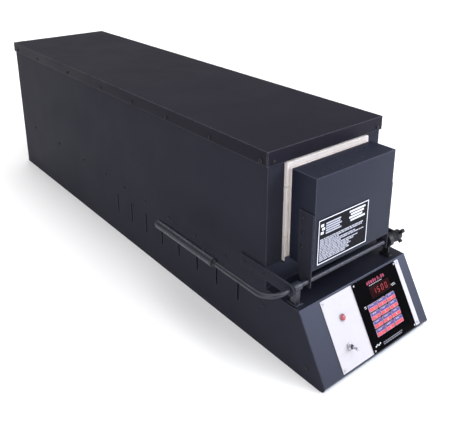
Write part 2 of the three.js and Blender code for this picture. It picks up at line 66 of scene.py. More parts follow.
# ---- materials ----
class Shader:
    """A Principled material with object-space noise for colour, roughness and bump."""

    def __init__(self, name, color, roughness, metallic=0.0):
        self.material = bpy.data.materials.new(name)
        self.material.use_nodes = True
        self.tree = self.material.node_tree
        self.shader = self.tree.nodes["Principled BSDF"]
        self.shader.inputs["Base Color"].default_value = (*color, 1)
        self.shader.inputs["Roughness"].default_value = roughness
        self.shader.inputs["Metallic"].default_value = metallic
        self.place = self.tree.nodes.new("ShaderNodeTexCoord").outputs["Object"]
        self.color = None
        self.base = color
        self.normal = None

    def node(self, kind, links=None, **settings):
        made = self.tree.nodes.new("ShaderNode" + kind)
        for key, value in settings.items():
            setattr(made, key, value)
        for key, value in (links or {}).items():
            if isinstance(value, bpy.types.NodeSocket):
                self.tree.links.new(value, made.inputs[key])
            else:
                made.inputs[key].default_value = value
        return made

    def noise(self, size, detail=3.0, stretch=(1, 1, 1)):
        """Noise whose features are about size metres across."""
        moved = self.node("Mapping", {"Vector": self.place, "Scale": stretch})
        noise = self.node("TexNoise", {"Vector": moved.outputs[0], "Scale": 1 / size, "Detail": detail})
        return noise.outputs["Fac"]

    def ramp(self, value, low, high, to_low=0.0, to_high=1.0):
        return self.node("MapRange", {
            "Value": value, "From Min": low, "From Max": high, "To Min": to_low, "To Max": to_high,
        }).outputs["Result"]

    def blend(self, mask, color):
        """Lays another colour over the base where the mask is 1."""
        mix = self.node("Mix", data_type="RGBA")
        self.tree.links.new(mask, mix.inputs["Factor"])
        if self.color is None:
            mix.inputs["A"].default_value = (*self.base, 1)
        else:
            self.tree.links.new(self.color, mix.inputs["A"])
        mix.inputs["B"].default_value = (*color, 1)
        self.color = mix.outputs["Result"]
        self.tree.links.new(self.color, self.shader.inputs["Base Color"])
        return self

    def mottle(self, size, color, amount=1.0, low=0.4, high=0.7, detail=4.0, stretch=(1, 1, 1)):
        return self.blend(self.ramp(self.noise(size, detail, stretch), low, high, 0, amount), color)

    def rough(self, size, low, high, stretch=(1, 1, 1)):
        value = self.ramp(self.noise(size, 4.0, stretch), 0.3, 0.7, low, high)
        self.tree.links.new(value, self.shader.inputs["Roughness"])
        return self

    def bump(self, size, height, detail=2.0, stretch=(1, 1, 1), sharp=None):
        value = self.noise(size, detail, stretch)
        if sharp:
            value = self.ramp(value, *sharp)
        links = {"Height": value, "Distance": height, "Strength": 1.0}
        if self.normal is not None:
            links["Normal"] = self.normal
        self.normal = self.node("Bump", links).outputs["Normal"]
        self.tree.links.new(self.normal, self.shader.inputs["Normal"])
        return self

    def edge_wear_and_sheen(self, radius, color, amount=0.5, even=0.0):
        """Lightens or darkens edges, broken up by noise; even is what the noise leaves everywhere. It
        gives rubbed and chipped edges, and painted highlights along edges.
        """
        rounded = self.node("Bevel", {"Radius": radius}, samples=4).outputs["Normal"]
        true = self.node("NewGeometry").outputs["Normal"]
        turn = self.node("VectorMath", {0: rounded, 1: true}, operation="DOT_PRODUCT").outputs["Value"]
        edge = self.ramp(turn, 0.985, 0.9, 0, amount)
        broken = self.ramp(self.noise(6 * MM, 5.0), 0.42, 0.62, even, 1)
        mask = self.node("Math", {0: edge, 1: broken}, operation="MULTIPLY").outputs[0]
        return self.blend(mask, color)

    def set(self, **values):
        for key, value in values.items():
            self.shader.inputs[key.replace("_", " ")].default_value = value
        return self

    def done(self):
        return self.material


def powder_coat(name, color, edge_dust_and_sheen, level, tint=(0.80, 0.86, 1.0), gloss=0.42):
    """Satin powder coat: faint blotches, fine orange peel, and a pale colour along the edges that is
    partly rubbed wear and partly a painted highlight.
    """
    lighter = tuple(min(1, c * 1.35 + 0.002) for c in color)
    darker = tuple(c * 0.72 for c in color)
    return (Shader(name, color, gloss)
            .mottle(0.18, lighter, 0.3, 0.42, 0.72)
            .mottle(0.035, darker, 0.25, 0.5, 0.75)
            .mottle(1.1 * MM, lighter, 0.35, 0.55, 0.7, detail=1.0)
            # pale, nearly unbroken edges: partly rubbed wear, partly a painted highlight along every
            # edge
            .edge_wear_and_sheen(2.6 * MM, edge_dust_and_sheen, 0.9, 0.6)
            .rough(0.12, gloss - 0.03, gloss + 0.06)
            .bump(1.5 * MM, 0.04 * MM, 3.0)
            .bump(0.35, 0.25 * MM, 1.0)
            .set(Specular_IOR_Level=level, Specular_Tint=(*tint, 1))
            .done())


def steel_enamel(name, color, gloss=0.32):
    """Dark enamel on steel, with uneven gloss and pale edges."""
    return (Shader(name, color, gloss)
            .mottle(0.02, tuple(c * 1.5 for c in color), 0.5)
            .edge_wear_and_sheen(0.8 * MM, (0.10, 0.10, 0.12), 0.6)
            .rough(0.012, gloss - 0.06, gloss + 0.16)
            .bump(0.9 * MM, 0.03 * MM)
            .set(Specular_IOR_Level=0.4)
            .done())


def plated(name):
    """Bright plating with fine turning marks."""
    gloss = 0.24
    return (Shader(name, (0.50, 0.50, 0.53), gloss, 1.0)
            .mottle(0.004, (0.42, 0.41, 0.42), 0.5)
            .rough(0.003, gloss - 0.06, gloss + 0.18)
            .bump(0.25 * MM, 0.01 * MM, stretch=(1, 1, 6))
            .done())


def firebrick(name, color):
    """Matte porous brick: pale and tan patches, dark pores and chipped edges."""
    return (Shader(name, color, 0.95)
            .mottle(0.05, (0.73, 0.68, 0.65), 0.8)
            .mottle(0.016, (0.66, 0.56, 0.49), 0.5, 0.52, 0.75)
            .mottle(1.2 * MM, (0.46, 0.37, 0.31), 0.6, 0.62, 0.72, detail=2.0)
            .edge_wear_and_sheen(2.5 * MM, (0.62, 0.53, 0.47), 0.6)
            .rough(0.01, 0.88, 1.0)
            .bump(1.1 * MM, 0.45 * MM, 4.0, sharp=(0.35, 0.62))
            .bump(6 * MM, 0.5 * MM, 4.0)
            .set(Specular_IOR_Level=0.15)
            .done())


def plain(name, color, roughness, speck, size=1.2 * MM, bump=0.03 * MM, **extra):
    """A painted, printed or moulded surface: speckled colour, uneven gloss and a fine grain."""
    shader = (Shader(name, color, roughness)
              .mottle(size * 12, speck, 0.35)
              .mottle(size, speck, 0.3, 0.55, 0.7)
              .rough(size * 8, max(0.02, roughness - 0.06), roughness + 0.08)
              .bump(size, bump))
    return shader.set(**extra).done()


def glowing(name, color, strength):
    """A lit figure behind a filter."""
    shader = Shader(name, tuple(c * 0.5 for c in color), 0.3)
    shader.mottle(2 * MM, tuple(c * 0.35 for c in color), 0.6)
    shader.set(Emission_Color=(*color, 1), Emission_Strength=strength)
    return shader.bump(0.6 * MM, 0.02 * MM).done()


# each coat's second colour goes on its edges: partly rubbed wear, partly a painted highlight
PAINT = powder_coat("charcoal_powder_coat", (0.022, 0.0228, 0.0315), (0.060, 0.063, 0.080), 0.02)
LID_PAINT = powder_coat("lid_powder_coat", (0.0120, 0.0112, 0.0170), (0.10, 0.10, 0.125), 0.05,
                        (0.84, 0.80, 1.0))
FRONT_PAINT = powder_coat("slope_powder_coat", (0.0055, 0.0058, 0.0100), (0.045, 0.047, 0.07), 0.62,
                          (0.70, 0.74, 1.0))
DOOR_PAINT = powder_coat("door_powder_coat", (0.0100, 0.0115, 0.0205), (0.10, 0.10, 0.135), 0.15,
                         (0.66, 0.70, 1.0))
ROD_ENAMEL = steel_enamel("rod_enamel", (0.013, 0.014, 0.022))
BLACK_STEEL = steel_enamel("hinge_black_steel", (0.004, 0.004, 0.005), 0.5)
SCREW_BLACK = steel_enamel("screw_black_oxide", (0.004, 0.004, 0.0045), 0.45)
PLATED = plated("nickel_plating")
BRICK = firebrick("insulating_firebrick", (0.66, 0.61, 0.58))
DOOR_BRICK = firebrick("door_firebrick", (0.60, 0.545, 0.51))
FIBRE = (Shader("ceramic_fibre", (0.80, 0.79, 0.75), 1.0)
         .mottle(0.01, (0.66, 0.64, 0.60), 0.6, stretch=(1, 1, 5))
         .bump(1.5 * MM, 0.8 * MM, 4.0, stretch=(1, 1, 4))
         .rough(0.01, 0.92, 1.0)
         .done())
ELEMENT = (Shader("oxidised_wire", (0.16, 0.13, 0.11), 0.6, 0.6)
           .mottle(0.03, (0.30, 0.27, 0.24), 0.8)
           .rough(0.01, 0.5, 0.75)
           .bump(0.5 * MM, 0.04 * MM)
           .done())
CERAMIC = plain("porcelain", (0.78, 0.75, 0.70), 0.35, (0.66, 0.60, 0.52))
WHITE = plain("white_panel_paint", (0.50, 0.48, 0.50), 0.5, (0.465, 0.445, 0.47), 0.8 * MM,
              0.015 * MM, Specular_IOR_Level=0.2)
OVERLAY = plain("black_overlay_film", (0.0010, 0.0010, 0.0013), 0.40, (0.0022, 0.0022, 0.003),
                0.5 * MM, 0.006 * MM, Specular_IOR_Level=0.01)
LEGEND = plain("legend_ink", (0.62, 0.63, 0.66), 0.5, (0.5, 0.5, 0.54), 0.4 * MM, 0.005 * MM)
DIM_INK = plain("dim_legend_ink", (0.16, 0.16, 0.19), 0.5, (0.1, 0.1, 0.12), 0.4 * MM, 0.005 * MM)
KEY_EDGE = plain("key_border_ink", (0.40, 0.28, 0.40), 0.5, (0.3, 0.2, 0.32), 0.5 * MM, 0.01 * MM)
KEY_BLUE = plain("key_blue_ink", (0.035, 0.020, 0.16), 0.5, (0.06, 0.035, 0.24), 0.6 * MM, 0.01 * MM)
KEY_RED = plain("key_red_ink", (0.50, 0.026, 0.040), 0.5, (0.62, 0.09, 0.09), 0.6 * MM, 0.01 * MM)
TITLE_RED = plain("title_red_ink", (0.24, 0.002, 0.045), 0.5, (0.32, 0.006, 0.07), 0.5 * MM, 0.01 * MM)
DISPLAY = plain("display_filter", (0.012, 0.0006, 0.0012), 0.12, (0.022, 0.001, 0.002), 2 * MM,
                0.004 * MM, Specular_IOR_Level=0.15)
SEGMENT = glowing("lit_segment", (0.55, 0.012, 0.03), 0.30)
LENS = (Shader("pilot_lens_red", (0.42, 0.035, 0.055), 0.16)
        .mottle(2.5 * MM, (0.60, 0.16, 0.18), 0.6)
        .bump(1.6 * MM, 0.12 * MM)
        .rough(2 * MM, 0.08, 0.2)
        .set(Transmission_Weight=0.25, Coat_Weight=0.6, Coat_Roughness=0.05)
        .done())
BOARD = plain("green_solder_mask", (0.02, 0.12, 0.05), 0.35, (0.01, 0.07, 0.03))
MOULDED = plain("black_moulding", (0.016, 0.016, 0.017), 0.5, (0.03, 0.03, 0.032))
PLATE_FIELD = plain("data_plate_field", (0.0040, 0.0042, 0.0065), 0.42, (0.008, 0.008, 0.012),
                    0.6 * MM, 0.01 * MM, Specular_IOR_Level=0.05)
PLATE_INK = plain("data_plate_ink", (0.40, 0.41, 0.48), 0.45, (0.33, 0.34, 0.41), 0.5 * MM, 0.01 * MM)
PLATE_WHITE = plain("data_plate_border_ink", (0.66, 0.67, 0.72), 0.45, (0.55, 0.56, 0.62),
                    0.5 * MM, 0.01 * MM)


# ---- mesh helpers ----
def new_object(name, mesh, material, body, replaced=(), smooth=50):
    """Puts a mesh in the scene on its body, in place of the CAD nodes that it replaces."""
    piece = bpy.data.objects.new(name, mesh)
    bpy.context.scene.collection.objects.link(piece)
    mesh.materials.clear()
    mesh.materials.append(material)
    if smooth:
        mesh.polygons.foreach_set("use_smooth", [True] * len(mesh.polygons))
        mesh.set_sharp_from_angle(angle=math.radians(smooth))
        weighted = piece.modifiers.new("even_normals", "WEIGHTED_NORMAL")
        weighted.keep_sharp = True
    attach(piece, body)
    if replaced:
        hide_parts(*replaced)
    return piece


def to_mesh(bm, name):
    """Turns bm into a mesh with outward faces, and frees bm."""
    bmesh.ops.recalc_face_normals(bm, faces=bm.faces)
    mesh = bpy.data.meshes.new(name)
    bm.to_mesh(mesh)
    bm.free()
    return mesh


def bevel(bm, width, segments=2, angle=30):
    """Rounds the edges that turn more than angle degrees."""
    edges = [e for e in bm.edges if e.is_manifold and e.calc_face_angle(0) > math.radians(angle)]
    bmesh.ops.bevel(bm, geom=edges, offset=width, segments=segments, affect="EDGES",
                    profile=0.5, clamp_overlap=True)


def block(low, high, width=0.0, segments=2):
    """A box between two corners, with rounded edges."""
    bm = bmesh.new()
    bmesh.ops.create_cube(bm, size=1)
    size = Vector(high) - Vector(low)
    middle = (Vector(high) + Vector(low)) / 2
    place = Matrix.Translation(middle) @ Matrix.Diagonal((*size, 1))
    bmesh.ops.transform(bm, verts=bm.verts, matrix=place)
    if width:
        bevel(bm, width, segments)
    return bm


def merge(bm, other):
    """Adds other's geometry to bm and frees other."""
    mesh = bpy.data.meshes.new("part")
    other.to_mesh(mesh)
    other.free()
    bm.from_mesh(mesh)
    bpy.data.meshes.remove(mesh)
    return bm


def moved(bm, matrix):
    """Moves the whole of bm, and hands it back."""
    bmesh.ops.transform(bm, verts=bm.verts, matrix=matrix)
    return bm


def turn_to(axis, origin):
    """The matrix that stands local +Z along axis at origin."""
    return Matrix.Translation(origin) @ Vector(axis).to_track_quat("Z", "Y").to_matrix().to_4x4()


def lathe(profile, axis=Z, origin=(0, 0, 0), sides=48):
    """Turns a list of (radius, height) about axis; a profile that comes back to its start is a ring."""
    bm = bmesh.new()
    closed = profile[0] == profile[-1]
    points = profile[:-1] if closed else profile
    rings = []
    for radius, height in points:
        if radius < 1e-9:
            rings.append([bm.verts.new((0, 0, height))])
            continue
        angles = (2 * math.pi * i / sides for i in range(sides))
        rings.append([bm.verts.new((radius * math.cos(a), radius * math.sin(a), height))
                      for a in angles])
    pairs = list(zip(rings, rings[1:] + ([rings[0]] if closed else [])))
    for low, high in (pairs if closed else pairs[:len(rings) - 1]):
        for i in range(sides):
            j = (i + 1) % sides
            loop = [low[i % len(low)], low[j % len(low)], high[j % len(high)], high[i % len(high)]]
            unique = list(dict.fromkeys(loop))
            if len(unique) > 2:
                bm.faces.new(unique)
    return moved(bm, turn_to(axis, origin))


def in_mm(*pairs):
    """(radius, height) pairs given in millimetres."""
    return [(radius * MM, height * MM) for radius, height in pairs]


def rounded_bar(radius, start, end, edge=0.6 * MM):
    """(radius, height) of a bar with eased ends."""
    return [
        (0, start), (radius - edge, start), (radius - edge * 0.3, start + edge * 0.3),
        (radius, start + edge), (radius, end - edge), (radius - edge * 0.3, end - edge * 0.3),
        (radius - edge, end), (0, end),
    ]


def rounded_ring(inner, outer, start, end, edge):
    """(radius, height) of a ring with eased edges."""
    return [
        (inner, start + edge), (inner + edge, start), (outer - edge, start), (outer, start + edge),
        (outer, end - edge), (outer - edge, end), (inner + edge, end), (inner, end - edge),
        (inner, start + edge),
    ]


def boolean(bm, others, operation="DIFFERENCE"):
    """Cuts or joins closed meshes exactly."""
    target = bpy.data.objects.new("target", to_mesh(bm, "target"))
    bpy.context.scene.collection.objects.link(target)
    helpers = [target]
    for other in others:
        tool = bpy.data.objects.new("tool", to_mesh(other, "tool"))
        bpy.context.scene.collection.objects.link(tool)
        change = target.modifiers.new("cut", "BOOLEAN")
        change.operation = operation
        change.solver = "EXACT"
        change.object = tool
        helpers.append(tool)
    result = bmesh.new()
    evaluated = target.evaluated_get(bpy.context.evaluated_depsgraph_get())
    result.from_mesh(evaluated.to_mesh())
    for helper in helpers:
        mesh = helper.data
        bpy.data.objects.remove(helper)
        bpy.data.meshes.remove(mesh)
    return result


def sweep(points, radius, sides):
    """A round tube along listed points, closed at both ends."""
    bm = bmesh.new()
    normal = None
    rings = []
    last = len(points) - 1
    for i, point in enumerate(points):
        tangent = (points[min(i + 1, last)] - points[max(i - 1, 0)]).normalized()
        if normal is None:
            normal = tangent.orthogonal().normalized()
        normal = (normal - tangent * normal.dot(tangent)).normalized()
        side = tangent.cross(normal)
        rings.append([bm.verts.new(point + radius * (math.cos(a) * normal + math.sin(a) * side))
                      for a in (2 * math.pi * k / sides for k in range(sides))])
    for low, high in zip(rings, rings[1:]):
        for i in range(sides):
            bm.faces.new([low[i], low[(i + 1) % sides], high[(i + 1) % sides], high[i]])
    bm.faces.new(list(reversed(rings[0])))
    bm.faces.new(rings[-1])
    return bm


def cad_copy(node):
    """The CAD node's mesh with its flat faces merged."""
    bm = bmesh.new()
    bm.from_mesh(frame["nodes"][node].data)
    bmesh.ops.remove_doubles(bm, verts=bm.verts, dist=1e-6)
    bmesh.ops.dissolve_limit(bm, angle_limit=math.radians(1), verts=bm.verts, edges=bm.edges)
    return bm


def eased(node, material, body, width, segments=2, smooth=0):
    """The CAD node's own shape with its edges rounded."""
    bm = cad_copy(node)
    bevel(bm, width, segments)
    return new_object(node + "_finished", to_mesh(bm, node), material, body, [node], smooth)


# ---- folded sheets ----
SHELF_Z = 140 * MM
TOE_Z = 12 * MM
SLOPE_RUN = 74 * MM
SHEET = 1.5 * MM
SLOTS = {"count": 8, "first": 84.5 * MM, "pitch": 73 * MM, "bottom": 66 * MM, "top": 120 * MM,
         "width": 5.6 * MM}
BEND_RADIUS = 2.6 * MM


def prism(outline, x0, x1):
    """A (y, z) outline carried from x0 to x1."""
    bm = bmesh.new()
    bottom = bm.faces.new([bm.verts.new((x0, y, z)) for y, z in outline])
    grown = bmesh.ops.extrude_face_region(bm, geom=[bottom])
    far = [v for v in grown["geom"] if isinstance(v, bmesh.types.BMVert)]
    bmesh.ops.translate(bm, verts=far, vec=(x1 - x0, 0, 0))
    bmesh.ops.recalc_face_normals(bm, faces=bm.faces)
    return bm


def side_panel(node, side):
    """The folded side sheet: cooling slots, and a rounded bend down its front corner."""
    low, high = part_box(node)
    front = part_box("case_floor_plate")[0].y
    outer = side * max(-low.x, high.x)
    inner = outer - side * SHEET
    flange_end = side * min(abs(low.x), abs(high.x))
    toe = [(low.y, TOE_Z), (low.y + 0.8 * MM, 7.6 * MM), (low.y + 3.2 * MM, 3.4 * MM),
           (low.y + 7 * MM, 0.9 * MM), (low.y + TOE_Z, 0)]
    sheet = prism([
        (high.y, 0), (high.y, high.z), (front, high.z), (front, SHELF_Z),
        (low.y + SLOPE_RUN, SHELF_Z), *toe,
    ], min(outer, inner), max(outer, inner))
    flange = block((min(outer, flange_end), front, FLANGE_Z),
                   (max(outer, flange_end), front + SHEET, high.z))
    folded = boolean(sheet, [flange], "UNION")
    flat = math.radians(0.5)
    bmesh.ops.dissolve_limit(folded, angle_limit=flat, verts=folded.verts, edges=folded.edges)

    def on_bend(vert):
        across = abs(vert.co.x - outer) < 1e-5
        return across and abs(vert.co.y - front) < 1e-5 and vert.co.z > FLANGE_Z - 1e-4

    bend = [e for e in folded.edges if all(on_bend(v) for v in e.verts)]
    bmesh.ops.bevel(folded, geom=bend, offset=BEND_RADIUS, segments=5, affect="EDGES", profile=0.5)
    bevel(folded, 0.35 * MM, 1, 50)
    slots = []
    for i in range(SLOTS["count"]):
        y = front + SLOTS["first"] + i * SLOTS["pitch"]
        slots.append(block((outer - 5 * MM, y - SLOTS["width"] / 2, SLOTS["bottom"]),
                           (outer + 5 * MM, y + SLOTS["width"] / 2, SLOTS["top"])))
    mesh = to_mesh(boolean(folded, slots), node)
    return new_object(node + "_finished", mesh, PAINT, KILN, [node], 30)


FLANGE_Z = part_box("case_floor_plate")[1].z + 0.3 * MM
side_panel("left_side_panel", -1)
side_panel("right_side_panel", 1)
for name in ("rear_panel", "case_floor_plate", "base_bottom_plate"):
    eased(name, PAINT, KILN, 0.5 * MM)
eased("lid_cover", LID_PAINT, KILN, 1.4 * MM, 3)
eased("base_front_cover", FRONT_PAINT, KILN, 0.45 * MM)
eased("door_shell", DOOR_PAINT, DOOR, 1.8 * MM, 3)
for name in ("left_door_bracket", "right_door_bracket"):
    eased(name, PAINT, DOOR, 0.5 * MM, smooth=50)
for name in ("left_hinge_arm", "right_hinge_arm"):
    eased(name, PAINT, KILN, 0.5 * MM, smooth=50)


# ---- bricks and insulation ----
def brick_course(node, count, seed):
    """The CAD wall cut across into single bricks, each with eased, slightly chipped edges."""
    low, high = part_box(node)
    chips = random.Random(seed)
    whole = bmesh.new()
    joint = 0.5 * MM
    length = (high.y - low.y) / count
    beyond = -1
    for i in range(count):
        one = cad_copy(node)
        front = low.y + i * length + (joint if i else beyond)
        rear = low.y + (i + 1) * length - (joint if i < count - 1 else beyond)
        for place, outward in ((front, -Y), (rear, Y)):
            geometry = one.verts[:] + one.edges[:] + one.faces[:]
            made = bmesh.ops.bisect_plane(one, geom=geometry, plane_co=(0, place, 0),
                                          plane_no=outward, clear_outer=True)
            edges = [e for e in made["geom_cut"] if isinstance(e, bmesh.types.BMEdge)]
            if edges:
                bmesh.ops.holes_fill(one, edges=edges)
        bevel(one, (1.2 + 0.8 * chips.random()) * MM, 2)
        merge(whole, one)
    return new_object(node + "_course", to_mesh(whole, node), BRICK, KILN, [node])


for index, name in enumerate(("roof_brick", "floor_brick", "left_wall_brick", "right_wall_brick")):
    brick_course(name, 6, index)
eased("rear_wall_brick", BRICK, KILN, 1.2 * MM)
eased("door_brick", DOOR_BRICK, DOOR, 2.0 * MM, 3)
for name in ("top_blanket", "left_blanket", "right_blanket"):
    eased(name, FIBRE, KILN, 4 * MM, 3)


# ---- heating elements, thermocouple and electrics ----
def coil(path_length, place, coil_radius, wire, pitch, steps):
    """Points of a helix wound round a path; place(s) gives a point and two directions across it."""
    total = int(path_length / pitch * steps)
    points = []
    for i in range(total + 1):
        middle, across, up = place(path_length * i / total)
        angle = 2 * math.pi * i / steps
        points.append(middle + (coil_radius - wire) * (math.cos(angle) * across + math.sin(angle) * up))
    return points


def heating_element(node):
    """A hairpin of coiled wire: in along the lower groove, up the front and back along the upper."""
    low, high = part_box(node)
    x = (low.x + high.x) / 2
    radius = (high.x - low.x) / 2
    lower, upper = low.z + radius, high.z - radius
    front, rear = low.y + radius, high.y
    leg = rear - front
    rise = upper - lower

    def place(s):
        if s < leg:
            return Vector((x, rear - s, lower)), X, Z
        if s < leg + rise:
            return Vector((x, front, lower + s - leg)), X, Y
        return Vector((x, front + s - leg - rise, upper)), X, -Z

    wire = 0.8 * MM
    points = coil(2 * leg + rise, place, radius, wire, 5.2 * MM, 9)
    new_object(node + "_coil", to_mesh(sweep(points, wire, 5), node), ELEMENT, KILN, [node], 60)


for name in ("left_heating_element", "right_heating_element"):
    heating_element(name)
for name in ("left_terminal_block", "right_terminal_block"):
    eased(name, CERAMIC, KILN, 1.5 * MM, 3)


def turned_along_y(node, profile, material, sides=48):
    """A turned piece on the CAD node's own axis, along Y from its low end."""
    low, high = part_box(node)
    middle = (low + high) / 2
    bm = lathe(profile, Y, (middle.x, low.y, middle.z), sides)
    return new_object(node + "_turned", to_mesh(bm, node), material, KILN, [node])


probe_low, probe_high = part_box("thermocouple")
probe_length = probe_high.y - probe_low.y
turned_along_y("thermocouple", [
    (0, 0), (2.2 * MM, 0.2 * MM), (3.2 * MM, 1.6 * MM), (3.2 * MM, probe_length - 14 * MM),
    (8 * MM, probe_length - 14 * MM), (9 * MM, probe_length - 13 * MM),
    (9 * MM, probe_length - 1 * MM), (8 * MM, probe_length), (0, probe_length),
], CERAMIC, 32)
turned_along_y("cord_gland", in_mm(
    (0, 0), (9, 0), (9, 10.3), (12.4, 10.3), (13, 11), (13, 15.4), (12.2, 16), (10.5, 16.4),
    (8.4, 21), (7.4, 22), (5.2, 22), (4.8, 14), (0, 14),
), MOULDED)
for name in ("relay", "transformer"):
    eased(name, MOULDED, KILN, 1.5 * MM, 3)
eased("controller_board", BOARD, KILN, 0.3 * MM)


# ---- hinge, rod and handle ----
HINGE = Vector(JOINTS["door_hinge"]["pos_m"])
shaft_low, shaft_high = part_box("hinge_shaft")
ROD = (shaft_high.z - shaft_low.z) / 2


def on_hinge(x):
    """The point of the hinge line at x."""
    return Vector((x, HINGE.y, HINGE.z))


def rod_piece(node, ending, bm, material=ROD_ENAMEL):
    """A steel piece that turns with the door."""
    return new_object(node + ending, to_mesh(bm, node), material, DOOR, [node])


rod_piece("hinge_shaft", "_turned",
          lathe(rounded_bar(ROD, 0, shaft_high.x - shaft_low.x), X, on_hinge(shaft_low.x)))

arm_low, arm_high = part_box("handle_arm")
grip_low, grip_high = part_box("handle_grip")
HANDLE = (grip_low + grip_high) / 2


def handle_arm():
    """The rod's own bend, from the left bearing back into the handle."""
    bend = 35 * MM
    corner = Vector((HANDLE.x + bend, HINGE.y + bend, HINGE.z))
    turn = [corner + bend * (-math.cos(a) * Y - math.sin(a) * X)
            for a in (math.pi / 2 * i / 24 for i in range(25))]
    points = [on_hinge(arm_high.x), *turn, Vector((HANDLE.x, arm_high.y, HINGE.z))]
    return sweep(points, ROD, 32)


rod_piece("handle_arm", "_bent", handle_arm())

collar_low, collar_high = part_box("handle_collar")
rod_piece("handle_collar", "_turned", lathe(
    rounded_ring(ROD, (collar_high.x - collar_low.x) / 2, 0, collar_high.y - collar_low.y, 1.2 * MM),
    Y, (HANDLE.x, collar_low.y, HANDLE.z)), BLACK_STEEL)


def handle_grip():
    """A sleeve with a round end, and the set screw that holds it to the rod."""
    radius = (grip_high.x - grip_low.x) / 2
    length = grip_high.y - grip_low.y
    grip = lathe([
        (ROD + 0.2 * MM, 10 * MM), (ROD + 0.2 * MM, 0.5 * MM), (ROD + 0.7 * MM, 0),
        (radius - 1.4 * MM, 0), (radius - 0.4 * MM, 0.4 * MM), (radius, 1.4 * MM),
        (radius, length - 4 * MM), (radius - 0.5 * MM, length - 1.8 * MM),
        (radius - 1.7 * MM, length - 0.5 * MM),
        (radius - 3.6 * MM, length), (0, length), (0, 10 * MM), (ROD + 0.2 * MM, 10 * MM),
    ], Y, (HANDLE.x, grip_low.y, HANDLE.z), 56)
    lean = Vector((0.62, 0, 0.78)).normalized()
    foot = Vector((HANDLE.x, grip_low.y + 42 * MM, HANDLE.z)) + lean * (radius - 1 * MM)
    screw = in_mm((0, 0), (3, 0), (3, 2.6), (2.5, 3.2), (1.3, 3.2), (1.3, 1.8), (0, 1.8))
    return merge(grip, lathe(screw, lean, foot, 24))


rod_piece("handle_grip", "_turned", handle_grip())


def bearing_block(node, material):
    """A ring round the rod, a post and a screwed foot."""
    low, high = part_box(node)
    width = high.x - low.x
    outer = high.z - HINGE.z
    collar = lathe(rounded_ring(ROD + 0.3 * MM, outer, 0, width, 0.8 * MM), X, on_hinge(low.x), 48)
    post = block((low.x + 3 * MM, HINGE.y - 7 * MM, low.z + 1 * MM),
                 (high.x - 3 * MM, HINGE.y + 7 * MM, HINGE.z - ROD - 1 * MM), 1 * MM, 3)
    foot_low_y = HINGE.y - 13 * MM
    foot_top = low.z + 3.7 * MM
    foot = block((low.x, foot_low_y, low.z), (high.x, 2 * HINGE.y - foot_low_y, foot_top), 0.8 * MM, 3)
    bm = boolean(foot, [post, collar], "UNION")
    for side in (-1, 1):
        place = ((low.x + high.x) / 2, HINGE.y + side * 10 * MM, foot_top)
        bm = merge(bm, moved(screw_head(2.6 * MM), turn_to(Z, place)))
    return new_object(node + "_machined", to_mesh(bm, node), material, KILN, [node])


# ---- screws ----
def screw_head(radius):
    """A pan head with a cross recess, standing on z = 0 and looking along +Z."""
    height = radius * 0.62
    head = lathe([
        (0, -0.4 * MM), (radius * 0.9, -0.4 * MM), (radius, 0.02 * radius),
        (radius * 0.98, height * 0.35), (radius * 0.86, height * 0.68),
        (radius * 0.6, height * 0.92), (0, height),
    ], Z, (0, 0, 0), 20)
    arm = radius * 0.16
    span = radius * 0.58
    depth = height * 0.45
    above = height * 2
    return boolean(head, [block((-span, -arm, depth), (span, arm, above)),
                          block((-arm, -span, depth), (arm, span, above))])


HEADS = {}


def screws(name, places, normal, radius, body, material=SCREW_BLACK):
    """Pan-head screws at listed points, all looking along normal, as one piece."""
    if radius not in HEADS:
        HEADS[radius] = to_mesh(screw_head(radius), "screw_head")
    bm = bmesh.new()
    for i, place in enumerate(places):
        one = bmesh.new()
        one.from_mesh(HEADS[radius])
        turn = Matrix.Rotation(0.7 * i, 4, "Z")
        merge(bm, moved(one, turn_to(normal, place) @ turn))
    return new_object(name, to_mesh(bm, name), material, body)


bearing_block("left_bearing_block", ROD_ENAMEL)
bearing_block("right_bearing_block", BLACK_STEEL)

lid_low, lid_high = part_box("lid_cover")
case_low, case_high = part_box("left_side_panel")
CASE_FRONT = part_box("case_floor_plate")[0].y
CASE_REAR = case_high.y
CASE_HALF = -case_low.x
LID_SCREW = 4.3 * MM
BASE_SCREW = 3.8 * MM
ARM_SCREW = 3.4 * MM
TOE_SCREW = 3.2 * MM
LID_SCREW_Z = lid_high.z - 22 * MM
BASE_SCREW_Z = 0.154
REAR_SCREW_ZS = (0.022, 0.110, 0.205, 0.300, 0.385)
BRACKET_SCREW_ZS = (0.2435, 0.2735, 0.3045)
# millimetres back from the lid's front edge, and from the front of the case
LID_SCREW_STEPS = (20, 177, 337, 491, 651, 851, 1075, 1240)
BASE_SCREW_STEPS = (128, 236, 342, 450, 556, 664, 798, 967, 1163)
for side, word in ((-1, "left"), (1, "right")):
    outward = side * X
    places = [(side * lid_high.x, lid_low.y + s * MM, LID_SCREW_Z) for s in LID_SCREW_STEPS]
    screws(f"{word}_lid_screws", places, outward, LID_SCREW, KILN)
    face = side * CASE_HALF
    places = [(face, CASE_FRONT + s * MM, BASE_SCREW_Z) for s in BASE_SCREW_STEPS]
    screws(f"{word}_base_screws", places, outward, BASE_SCREW, KILN)
    places = [(face, CASE_FRONT + 4 * MM, 0.099), (face, CASE_FRONT - 118 * MM, 0.030)]
    screws(f"{word}_toe_screws", places, outward, TOE_SCREW, KILN)
places = [(side * 149.5 * MM, lid_low.y, LID_SCREW_Z) for side in (-1, 1)]
screws("front_lid_screws", places, -Y, LID_SCREW, KILN)
places = [(x * MM, lid_high.y, LID_SCREW_Z) for x in (-149.5, 0, 149.5)]
screws("rear_lid_screws", places, Y, LID_SCREW, KILN)
places = [(x * MM, CASE_REAR, z) for x in (-148, 148) for z in REAR_SCREW_ZS]
places += [(0, CASE_REAR, z) for z in REAR_SCREW_ZS[::2]]
screws("rear_panel_screws", places, Y, BASE_SCREW, KILN)
arm_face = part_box("left_hinge_arm")[0].x
places = [(arm_face, CASE_FRONT + y * MM, HINGE.z - 2 * MM) for y in (2, 33, 62)]
screws("hinge_arm_screws", places, -X, ARM_SCREW, KILN)
